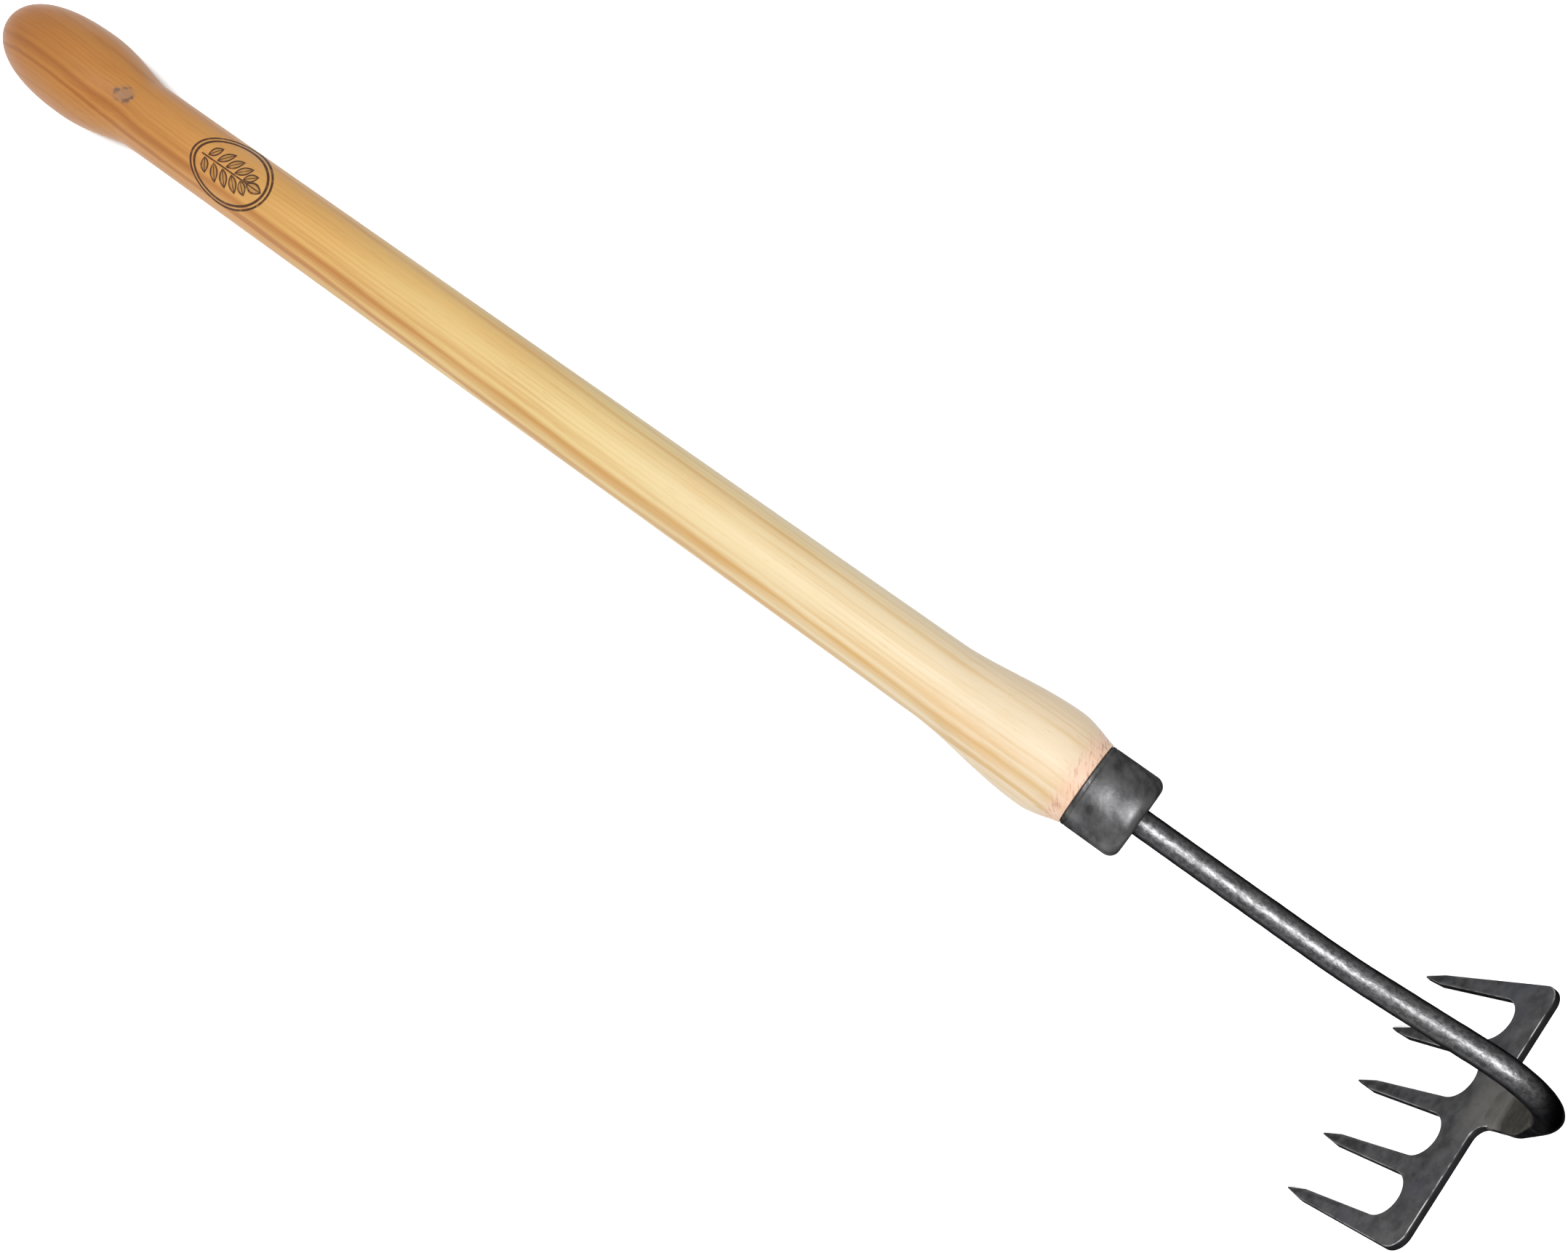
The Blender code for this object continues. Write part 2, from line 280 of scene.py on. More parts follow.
# ---------------------------------------------------------------- ferrule
def build_ferrule(material):
    inner = FERRULE_RADIUS - FERRULE_WALL
    rear = FERRULE_LENGTH
    lip = rear - LIP_LENGTH
    profile = [
        (rear, inner),
        (rear, FERRULE_RADIUS - FERRULE_BREAK),
        (rear - FERRULE_BREAK / 4, FERRULE_RADIUS - FERRULE_BREAK * 3 / 8),
        (rear - FERRULE_BREAK * 3 / 4, FERRULE_RADIUS),
        (lip + GROOVE_HALF_WIDTH, FERRULE_RADIUS),
        (lip, FERRULE_RADIUS - GROOVE_DEPTH),
        (lip - GROOVE_HALF_WIDTH, FERRULE_RADIUS),
    ]
    for i in range(25):
        angle = math.pi / 2 * i / 24
        radius = FERRULE_RADIUS - FERRULE_EDGE * (1 - math.cos(angle))
        profile.append((FERRULE_EDGE * (1 - math.sin(angle)), radius))
    profile += [
        (0.0, BORE_RADIUS + FERRULE_HOLE_BREAK),
        (FERRULE_HOLE_BREAK * 0.6, BORE_RADIUS),
        (FERRULE_FACE, BORE_RADIUS),
        (FERRULE_FACE, inner - FERRULE_INNER_FILLET),
        (FERRULE_FACE + FERRULE_INNER_FILLET, inner),
    ]
    verts, faces = turned(profile, closed=True)
    return make_piece("ferrule", verts, faces, material, ["ferrule"])


# ---------------------------------------------------------------- neck
def walk(steps):
    """Centreline of a planar bar as (x, z, heading, distance), from straights and bends."""
    x, z, heading, distance = 0.0, 0.0, 0.0, 0.0
    points = [(x, z, heading, distance)]
    for radius, amount in steps:
        length = amount if radius == 0.0 else radius * abs(amount)
        pieces = max(2, round(length / PATH_STEP))
        for _ in range(pieces):
            if radius == 0.0:
                x += length / pieces * math.cos(heading)
                z += length / pieces * math.sin(heading)
            else:
                turn = amount / pieces
                chord = 2 * radius * math.sin(abs(turn) / 2)
                x += chord * math.cos(heading + turn / 2)
                z += chord * math.sin(heading + turn / 2)
                heading += turn
            distance += length / pieces
            points.append((x, z, heading, distance))
    return points


def neck_path():
    return walk([
        (0.0, RUN_STRAIGHT),
        (RISE_RADIUS, RISE_ANGLE),
        (0.0, RUN_RISING),
        (CROOK_RADIUS, -(RISE_ANGLE + math.pi / 2 - SPLAY)),
        (0.0, RUN_DOWN),
        (HEEL_RADIUS, -(SPLAY + TINE_RAKE)),
    ])


def ease(share):
    share = min(max(share, 0.0), 1.0)
    return share * share * (3 - 2 * share)


def neck_section(distance, total):
    """Half thickness, half width, squareness and sideways shift: round, then beaten flat."""
    drop = RUN_DOWN + HEEL_RADIUS * (SPLAY + TINE_RAKE)
    start = total - drop
    flat = ease((distance - start + FLAT_LEAD) / FLAT_RUN)
    settled = ease((distance - start - FLAT_SETTLE) / (drop - FLAT_SETTLE))
    half_thickness = ROD_RADIUS + (PALM_HALF_THICKNESS - ROD_RADIUS) * flat
    half_width = ROD_RADIUS + (FLAT_HALF_WIDTH - ROD_RADIUS) * flat
    half_width += (PALM_HALF_WIDTH - FLAT_HALF_WIDTH) * settled
    shift = FLAT_DRIFT * flat + (PALM_DRIFT - FLAT_DRIFT) * settled
    return half_thickness, half_width, 2.0 + (PALM_SQUARENESS - 2.0) * flat, shift


def ring_points(x, z, heading, half_thickness, half_width, squareness, shift=0.0):
    """One section of the bar: an ellipse for squareness 2, and nearly a rectangle for 4."""
    points = []
    for i in range(RING_SIDES):
        angle = 2 * math.pi * i / RING_SIDES
        c, s = math.cos(angle), math.sin(angle)
        up = math.copysign(abs(c) ** (2 / squareness), c) * half_thickness
        side = math.copysign(abs(s) ** (2 / squareness), s) * half_width + shift
        points.append(Vector((
            x - up * math.sin(heading), side, z + up * math.cos(heading),
        )))
    return points


def hammered(point, centre, depth):
    """Moves a surface point in or out a few hundredths of a millimetre, for forging dimples."""
    dimple = sum(noise.noise(point * rate) * size for rate, size in DIMPLES)
    return point + (point - centre).normalized() * dimple * depth


def loft(rings):
    sides = len(rings[0])
    verts = [point for ring in rings for point in ring]
    faces = []
    for k in range(len(rings) - 1):
        for i in range(sides):
            j = (i + 1) % sides
            a, b = k * sides, (k + 1) * sides
            faces.append([a + i, a + j, b + j, b + i])
    faces.append(list(range(sides)))
    faces.append([len(verts) - 1 - i for i in range(sides)])
    return verts, faces


def build_neck(material):
    path = neck_path()
    total = path[-1][3]
    rings = []
    tang = [(TANG_LENGTH, TANG_POINT_RADIUS), (TANG_LENGTH - TANG_POINT, ROD_RADIUS)]
    for back, radius in tang:
        rings.append(ring_points(-back, 0.0, 0.0, radius, radius, 2.0))
    for x, z, heading, distance in path:
        section = neck_section(distance, total)
        centre = Vector((x, section[3], z))
        depth = 0.3 + 0.7 * section[0] / ROD_RADIUS
        ring = ring_points(x, z, heading, *section)
        rings.append([hammered(point, centre, depth) for point in ring])
    verts, faces = loft(rings)
    return make_piece("neck_rod", verts, faces, material, ["neck_rod"], sharp=50.0)


def build_weld(material):
    """The dressed weld: a low swelling over the bar's end that fades out on the plate's tab."""
    x, z, heading, _ = neck_path()[-1]
    length = WELD_LAP + WELD_LENGTH + WELD_FADE
    rings = []
    for i in range(33):
        share = i / 32
        swell = WELD_SWELL * math.sin(math.pi * share) - WELD_SINK
        fade = ease((share - 0.30) / 0.70)
        along = length * share - WELD_LAP
        half_thickness = PALM_HALF_THICKNESS + (PLATE_THICKNESS / 2 - PALM_HALF_THICKNESS) * fade
        rings.append(ring_points(
            x + along * math.cos(heading),
            z + along * math.sin(heading),
            heading,
            half_thickness + swell,
            PALM_HALF_WIDTH + swell,
            PALM_SQUARENESS,
            PALM_DRIFT,
        ))
    verts, faces = loft(rings)
    return make_piece("neck_weld", verts, faces, material, ["neck_weld"], sharp=50.0)


# ---------------------------------------------------------------- tine head
def arc(cu, cv, radius, start, end, pieces):
    points = []
    for i in range(pieces + 1):
        angle = math.radians(start + (end - start) * i / pieces)
        points.append((cu + radius * math.cos(angle), cv + radius * math.sin(angle)))
    return points


def gullet_turn(offset):
    """Angle at which a tine's straight side, this far from the gullet's centre, leaves its arc."""
    dv = POINT_AT - GULLET_CENTRE
    reach = math.hypot(offset, dv)
    return math.degrees(math.atan2(dv, offset) - math.acos(GULLET_RADIUS / reach))


def half_outline(drift):
    """The outline on the +u side, from the middle tine's tip round to the neck tab."""
    middle = (TINE_COUNT - 1) // 2
    points = [(TIP_HALF_WIDTH, TIP_AT), (POINT_HALF_WIDTH, POINT_AT)]
    for k in range(middle):
        gullet = (k + 0.5) * PITCH_ROOT
        left = gullet_turn(gullet - k * PITCH_TIP - POINT_HALF_WIDTH)
        right = gullet_turn((k + 1) * PITCH_TIP - POINT_HALF_WIDTH - gullet)
        points += arc(gullet, GULLET_CENTRE, GULLET_RADIUS, 180 - left, 360 + right, GULLET_STEPS)
        tip = (k + 1) * PITCH_TIP
        points.append((tip - POINT_HALF_WIDTH, POINT_AT))
        points.append((tip - TIP_HALF_WIDTH, TIP_AT))
        points.append((tip + TIP_HALF_WIDTH, TIP_AT))
        points.append((tip + POINT_HALF_WIDTH, POINT_AT))
    corner = BACK_HALF_WIDTH - CORNER_RADIUS
    points += arc(corner, CORNER_RADIUS, CORNER_RADIUS, 0, -90, CORNER_STEPS)
    fillet = PALM_HALF_WIDTH + TAB_FILLET + drift
    points += arc(fillet, -TAB_FILLET, TAB_FILLET, 90, 180, FILLET_STEPS)
    points.append((PALM_HALF_WIDTH + drift, -TAB_LENGTH))
    return points


def head_outline():
    left = [(-u, v) for u, v in reversed(half_outline(-PALM_DRIFT))]
    return half_outline(PALM_DRIFT) + left


def inset(outline, depth):
    """The outline moved inwards, less near the tines' tips where there is no room."""
    count = len(outline)
    moved = []
    for i in range(count):
        (u0, v0), (u1, v1), (u2, v2) = outline[i - 1], outline[i], outline[(i + 1) % count]
        first = Vector((u1 - u0, v1 - v0)).normalized()
        second = Vector((u2 - u1, v2 - v1)).normalized()
        inward = Vector((-(first.y + second.y), first.x + second.x)).normalized()
        spread = max(0.5, inward.dot(Vector((-first.y, first.x))))
        taper = min(1.0, max(TIP_ROUND_SHARE, (TIP_AT - v1) / (TIP_AT - POINT_AT)))
        shift = depth * taper / spread
        moved.append((u1 + inward.x * shift, v1 + inward.y * shift))
    return moved


def head_frame():
    """Middle of the plate's back edge, and the directions along the tines and out of the plate."""
    x, z, heading, _ = neck_path()[-1]
    reach = WELD_LENGTH + TAB_LENGTH
    along = Vector((math.cos(heading), 0.0, math.sin(heading)))
    out = Vector((math.sin(heading), 0.0, -math.cos(heading)))
    return Vector((x, 0.0, z)) + along * reach, along, out


def build_head(material):
    origin, along, out = head_frame()
    outline = head_outline()
    area = sum(a[0] * b[1] - b[0] * a[1] for a, b in zip(outline, outline[1:]))
    if area < 0:
        outline.reverse()
    half = PLATE_THICKNESS / 2
    layers = []
    for k in range(EDGE_STEPS + 1):
        angle = math.pi / 2 * k / EDGE_STEPS
        depth = EDGE_ROUND * (1 - math.sin(angle))
        layers.append((depth, -half + EDGE_ROUND * (1 - math.cos(angle))))
    layers += [(depth, -height) for depth, height in reversed(layers)]
    verts, faces = [], []
    count = len(outline)
    for depth, height in layers:
        for u, v in inset(outline, depth):
            verts.append(origin + Vector((0.0, u, 0.0)) + along * v + out * height)
    for k in range(len(layers) - 1):
        for i in range(count):
            j = (i + 1) % count
            a, b = k * count, (k + 1) * count
            faces.append([a + i, a + j, b + j, b + i])
    faces.append(list(reversed(range(count))))
    faces.append(list(range((len(layers) - 1) * count, len(layers) * count)))
    return make_piece("tine_head", verts, faces, material, ["tine_head"], sharp=40.0)


# ---------------------------------------------------------------- shader helpers
NOISE_SPREAD = 2.5           # widens noise, which seldom leaves 0.3 to 0.7, to about 0 to 1


class Shader:
    """A material with short names for the nodes it is built from; places are in millimetres."""

    def __init__(self, name):
        self.material = bpy.data.materials.new(name)
        self.material.use_nodes = True
        self.tree = self.material.node_tree
        self.surface = self.tree.nodes["Principled BSDF"]
        coords = self.tree.nodes.new("ShaderNodeTexCoord")
        pose = self.tree.nodes.new("ShaderNodeMapping")
        pose.vector_type = "TEXTURE"
        pose.inputs["Location"].default_value = POSE.translation
        pose.inputs["Rotation"].default_value = POSE.to_euler()
        pose.inputs["Scale"].default_value = (0.001, 0.001, 0.001)
        self.tree.links.new(coords.outputs["Object"], pose.inputs["Vector"])
        self.place = pose.outputs["Vector"]
        self.x, self.y, self.z = self.split(self.place)

    def feed(self, socket, value):
        if isinstance(value, bpy.types.NodeSocket):
            self.tree.links.new(value, socket)
        else:
            socket.default_value = value

    def split(self, vector):
        node = self.tree.nodes.new("ShaderNodeSeparateXYZ")
        self.feed(node.inputs[0], vector)
        return node.outputs["X"], node.outputs["Y"], node.outputs["Z"]

    def join(self, x, y, z):
        node = self.tree.nodes.new("ShaderNodeCombineXYZ")
        for socket, value in zip(node.inputs, (x, y, z)):
            self.feed(socket, value)
        return node.outputs[0]

    def math(self, operation, a, b=0.0, c=0.0):
        node = self.tree.nodes.new("ShaderNodeMath")
        node.operation = operation
        for socket, value in zip(node.inputs, (a, b, c)):
            self.feed(socket, value)
        return node.outputs[0]

    def add(self, a, b):
        return self.math("ADD", a, b)

    def sub(self, a, b):
        return self.math("SUBTRACT", a, b)

    def mul(self, a, b):
        return self.math("MULTIPLY", a, b)

    def step(self, value, low, high, to_low=0.0, to_high=1.0):
        """Smooth change from to_low to to_high as value goes from low to high."""
        node = self.tree.nodes.new("ShaderNodeMapRange")
        node.interpolation_type = "SMOOTHSTEP"
        for socket, given in zip(node.inputs, (value, low, high, to_low, to_high)):
            self.feed(socket, given)
        return node.outputs[0]

    def stretch(self, scale, vector=None):
        node = self.tree.nodes.new("ShaderNodeMapping")
        self.feed(node.inputs["Vector"], self.place if vector is None else vector)
        node.inputs["Scale"].default_value = scale
        return node.outputs["Vector"]

    def noise(self, scale, detail=2.0, roughness=0.5, vector=None, seed=0.0):
        """Noise of 0 to 1; scale is in cycles a millimetre along each axis."""
        node = self.tree.nodes.new("ShaderNodeTexNoise")
        node.noise_dimensions = "4D"
        self.feed(node.inputs["Vector"], self.stretch(scale, vector))
        node.inputs["W"].default_value = seed
        node.inputs["Scale"].default_value = 1.0
        node.inputs["Detail"].default_value = detail
        node.inputs["Roughness"].default_value = roughness
        return node.outputs["Fac"]

    def swing(self, scale, amount, detail=2.0, vector=None, seed=0.0):
        """Noise centred on zero, of about plus or minus amount."""
        grain = self.noise(scale, detail, 0.5, vector, seed)
        return self.mul(self.sub(grain, 0.5), amount * NOISE_SPREAD)

    def ramp(self, factor, stops, interpolation="LINEAR"):
        node = self.tree.nodes.new("ShaderNodeValToRGB")
        node.color_ramp.interpolation = interpolation
        self.feed(node.inputs[0], factor)
        elements = node.color_ramp.elements
        while len(elements) < len(stops):
            elements.new(0.5)
        for element, (position, colour) in zip(elements, stops):
            element.position = position
            element.color = (*colour, 1.0)
        return node.outputs["Color"]

    def mix(self, factor, a, b, blend="MIX"):
        """Mixes two colours; inputs 6 and 7 and output 2 are the node's colour sockets."""
        node = self.tree.nodes.new("ShaderNodeMix")
        node.data_type = "RGBA"
        node.blend_type = blend
        self.feed(node.inputs[0], factor)
        self.feed(node.inputs[6], a if isinstance(a, bpy.types.NodeSocket) else (*a, 1.0))
        self.feed(node.inputs[7], b if isinstance(b, bpy.types.NodeSocket) else (*b, 1.0))
        return node.outputs[2]

    def bump(self, height, distance):
        """Bump of the given height field; distance is in metres."""
        node = self.tree.nodes.new("ShaderNodeBump")
        node.inputs["Strength"].default_value = 1.0
        node.inputs["Distance"].default_value = distance
        self.feed(node.inputs["Height"], height)
        self.tree.links.new(node.outputs["Normal"], self.surface.inputs["Normal"])

    def finish(self, colour, roughness, fixed):
        """Feeds the surface its colour and roughness, and sets its fixed values by name."""
        self.feed(self.surface.inputs["Base Color"], colour)
        self.feed(self.surface.inputs["Roughness"], roughness)
        for name, value in fixed.items():
            self.surface.inputs[name].default_value = value
        return self.material


# ---------------------------------------------------------------- wood, in mm
PITH = (74.0, 19.0)          # centre of the tree's rings, beside the shaft
RING = 2.15                  # mean width of a year ring
SLOPE = 0.011                # how fast the rings run out of the shaft
LEAN = 0.25                  # sine of the marked side's lean to the left of straight up
KNOT = (-504.0, 2.2)         # along the shaft, and across its marked side
KNOT_SIZE = (4.5, 4.0)       # half length and half width
MARK = (-440.5, 1.3)         # burnt mark: along the shaft, and across its marked side
MARK_SIZE = (21.2, 13.3)     # half length and half width
MARK_TIP = 0.20              # how far the branding iron leaned along the shaft
MARK_TOP = 15.0              # height of the marked side above the shaft's axis
STEM_START = -16.5
STEM_END = 10.5
END_LEAF = (13.4, 0.0, 0.0, 4.4, 2.5)
LEAF_PAIRS = 5
LEAF_START = -14.0
LEAF_SPACING = 5.0
SHAFT_BACK = 585.0           # the colours run from here to the ferrule's face
BRUISE_START = -31.5         # bruised wood from here to the ferrule
BRUISE_FULL = -25.0
BRUISE_RADIUS = 16.5

STREAKS = [                  # dark years: distance from the pith, half width, strength
    (86.3, 1.6, 0.80),
    (82.3, 0.8, 0.40),
    (78.9, 0.5, 0.22),
    (89.9, 0.7, 0.85),
    (72.4, 0.5, 0.16),
    (65.5, 1.2, 0.35),
]
PALE_WOOD = [                # from the knob to the ferrule: warm orange, paling to cream
    (0.0, (0.203, 0.076, 0.017)),
    (0.20, (0.290, 0.138, 0.038)),
    (0.32, (0.338, 0.203, 0.066)),
    (0.45, (0.356, 0.253, 0.103)),
    (0.58, (0.369, 0.284, 0.135)),
    (0.80, (0.388, 0.323, 0.214)),
    (1.0, (0.388, 0.317, 0.235)),
]
DARK_WOOD = [                # the same for late wood and streaks
    (0.0, (0.160, 0.055, 0.013)),
    (0.20, (0.199, 0.075, 0.019)),
    (0.32, (0.234, 0.098, 0.028)),
    (0.55, (0.271, 0.147, 0.045)),
    (0.80, (0.313, 0.203, 0.080)),
    (1.0, (0.329, 0.227, 0.112)),
]
LATE_WOOD = [                # one year's ring: slow darkening, then a sharp end
    (0.0, (0.0, 0.0, 0.0)),
    (0.45, (0.12, 0.12, 0.12)),
    (0.80, (1.0, 1.0, 1.0)),
    (0.92, (0.80, 0.80, 0.80)),
    (1.0, (0.0, 0.0, 0.0)),
]
RUDDY_TINT = (1.06, 0.93, 0.80)
KNOT_COLOUR = (0.155, 0.090, 0.058)
KNOT_RIM_COLOUR = (0.060, 0.038, 0.030)
PIN_KNOT_COLOUR = (0.16, 0.08, 0.035)
BRUISE_COLOUR = (0.440, 0.275, 0.210)
SCRATCH_COLOUR = (0.200, 0.105, 0.085)
SCORCH_COLOUR = (0.34, 0.17, 0.050)
BURN_COLOUR = (0.032, 0.011, 0.005)
GRAIN_DEPTH = 0.00003        # in metres


def band(s, value, middle, inner, outer):
    """One near the middle value, falling to nothing between the two half widths."""
    return s.step(s.math("ABSOLUTE", s.sub(value, middle)), inner, outer, 1.0, 0.0)


def oval_distance(s, u, v, size):
    """Distance from a centre, counted in an oval's half length and half width."""
    return s.math("SQRT", s.add(
        s.math("POWER", s.mul(u, 1 / size[0]), 2.0),
        s.math("POWER", s.mul(v, 1 / size[1]), 2.0),
    ))


def marked_side(s):
    """Distance across the side that carries the knot and the mark, and height above the axis."""
    upright = math.sqrt(1 - LEAN * LEAN)
    across = s.add(s.mul(s.y, upright), s.mul(s.z, LEAN))
    height = s.sub(s.mul(s.z, upright), s.mul(s.y, LEAN))
    return across, height


def leaf_shapes():
    """Centre, angle, half length and half width of each leaf of the sprig."""
    leaves = [END_LEAF]
    for k in range(LEAF_PAIRS):
        along = LEAF_START + LEAF_SPACING * k
        length = 4.3 if 0 < k < LEAF_PAIRS - 1 else 3.5
        for side in (-1, 1):
            angle = side * math.radians(56 - 4 * k)
            reach = length + 0.7
            leaves.append((
                along + side * 0.4 + math.cos(angle) * reach,
                math.sin(angle) * reach,
                angle,
                length,
                2.0,
            ))
    return leaves


def leaf_mask(s, place, leaf):
    """A leaf's outline and its rib, with the blade between them burnt only lightly."""
    cu, cv, angle, length, width = leaf
    node = s.tree.nodes.new("ShaderNodeMapping")
    node.vector_type = "TEXTURE"
    s.tree.links.new(place, node.inputs["Vector"])
    node.inputs["Location"].default_value = (cu, cv, 0.0)
    node.inputs["Rotation"].default_value = (0.0, 0.0, angle)
    node.inputs["Scale"].default_value = (length, width, 1.0)
    a, b, _ = s.split(node.outputs["Vector"])
    bow = s.sub(1.0, s.math("POWER", s.math("ABSOLUTE", a), 2.0))
    room = s.sub(bow, s.math("ABSOLUTE", b))
    body = s.step(room, -0.06, 0.12)
    hollow = s.mul(s.step(room, 0.30, 0.50), 0.70)
    rib = band(s, b, 0.0, 0.06, 0.16)
    return s.math("MAXIMUM", s.sub(body, hollow), s.mul(rib, body))


def burnt_mark(s, across, height):
    """Mask of a generic leaf sprig inside a double oval line, and the oval's own distance."""
    u = s.add(s.sub(s.x, MARK[0]), s.mul(s.sub(MARK_TOP, height), MARK_TIP))
    v = s.sub(across, MARK[1])
    place = s.join(u, v, 0.0)
    oval = oval_distance(s, u, v, MARK_SIZE)
    outer_line = band(s, oval, 0.980, 0.017, 0.034)
    inner_line = band(s, oval, 0.885, 0.021, 0.038)
    mask = s.math("MAXIMUM", outer_line, inner_line)
    stem = band(s, v, 0.0, 0.22, 0.44)
    stem = s.mul(stem, s.step(u, STEM_START, STEM_START + 0.5))
    stem = s.mul(stem, s.step(u, STEM_END - 0.5, STEM_END, 1.0, 0.0))
    mask = s.math("MAXIMUM", mask, stem)
    for leaf in leaf_shapes():
        mask = s.math("MAXIMUM", mask, leaf_mask(s, place, leaf))
    upper = s.step(height, -2.0, 2.0)
    return s.mul(s.math("MINIMUM", mask, 1.0), upper), s.mul(s.step(oval, 0.90, 1.08, 1.0, 0.0), upper)


def knot_shapes(s, across, upper):
    """Body and rim of the knot, and how far it pushes the rings aside."""
    reach = oval_distance(s, s.sub(s.x, KNOT[0]), s.sub(across, KNOT[1]), KNOT_SIZE)
    shove = s.mul(s.mul(s.step(reach, 0.5, 3.8, 1.0, 0.0), upper), 1.3)
    rough = s.add(reach, s.swing((0.22, 0.30, 0.30), 0.30, 3.0, seed=4.0))
    body = s.mul(s.step(rough, 0.25, 1.35, 1.0, 0.0), upper)
    rim = s.mul(band(s, rough, 0.80, 0.04, 0.34), upper)
    blotch = s.step(s.noise((0.30, 0.34, 0.34), 2.0, 0.6, seed=16.0), 0.42, 0.60)
    return body, s.mul(rim, blotch), shove


def year_rings(s, shove):
    """Distance from the pith, with slow drifts along the grain, and how late in its year wood grew."""
    from_pith = s.math("SQRT", s.add(
        s.math("POWER", s.sub(s.y, PITH[0]), 2.0),
        s.math("POWER", s.sub(s.z, PITH[1]), 2.0),
    ))
    drift = s.swing((0.0060, 0.02, 0.02), 1.5, 1.0, seed=1.0)
    ripple = s.swing((0.030, 0.10, 0.10), 0.34, 2.0, seed=2.0)
    run_out = s.mul(s.add(s.x, 300.0), -SLOPE)
    depth = s.add(s.add(from_pith, s.add(drift, ripple)), s.add(shove, run_out))
    years = s.join(depth, 0.0, 0.0)
    uneven = s.swing((0.13, 1.0, 1.0), 2.6, 2.0, years, seed=3.0)
    ring = s.math("FRACT", s.mul(s.add(depth, uneven), 1 / RING))
    late = s.ramp(ring, LATE_WOOD, "EASE")
    strength = s.step(s.noise((0.30, 1.0, 1.0), 1.0, 0.5, years, seed=5.0), 0.30, 0.70, 0.22, 1.0)
    fade = s.step(s.noise((0.012, 0.10, 0.10), 2.0, 0.5, seed=17.0), 0.25, 0.70, 0.35, 1.0)
    return depth, s.mul(s.mul(late, strength), fade)


def wood_tone(s, depth, late):
    """How dark the wood is, from late wood, dark years, slow patches and fibres."""
    tone = s.mul(late, 0.40)
    torn = s.swing((0.020, 0.50, 0.50), 0.55, 3.0, seed=7.0)
    for middle, half, strength in STREAKS:
        core = band(s, s.add(depth, torn), middle, half * 0.25, half * 1.6)
        tone = s.add(tone, s.mul(core, strength * 0.62))
    patches = s.step(s.noise((0.010, 0.11, 0.11), 3.0, 0.55, seed=8.0), 0.38, 0.66)
    tone = s.add(tone, s.mul(patches, 0.24))
    fibre = s.add(
        s.swing((0.022, 1.1, 1.1), 0.14, 3.0, seed=9.0),
        s.swing((0.050, 3.2, 3.2), 0.10, 2.0, seed=18.0),
    )
    return s.add(tone, fibre), fibre


def pin_knots(s):
    """A few pin knots, set by the cells of a stretched pattern."""
    cells = s.tree.nodes.new("ShaderNodeTexVoronoi")
    s.tree.links.new(s.stretch((0.022, 0.060, 0.060)), cells.inputs["Vector"])
    cells.inputs["Scale"].default_value = 1.0
    chosen = s.step(s.split(cells.outputs["Color"])[0], 0.74, 0.75)
    return s.mul(s.step(cells.outputs["Distance"], 0.018, 0.040, 1.0, 0.0), chosen)


def bruised_end(s):
    """Wood bruised by the fitting of the ferrule, and slanting scratches in it."""
    ragged = s.add(s.x, s.swing((0.35, 0.35, 0.35), 1.8, 3.0, seed=11.0))
    bruise = s.step(ragged, BRUISE_START, BRUISE_FULL)
    around = s.mul(s.math("ARCTAN2", s.y, s.z), BRUISE_RADIUS)
    slanted = s.join(s.add(s.x, s.mul(around, 0.6)), around, 0.0)
    scratch = s.noise((0.95, 0.22, 1.0), 4.0, 0.7, slanted, seed=12.0)
    return bruise, s.mul(s.step(scratch, 0.50, 0.66), bruise)


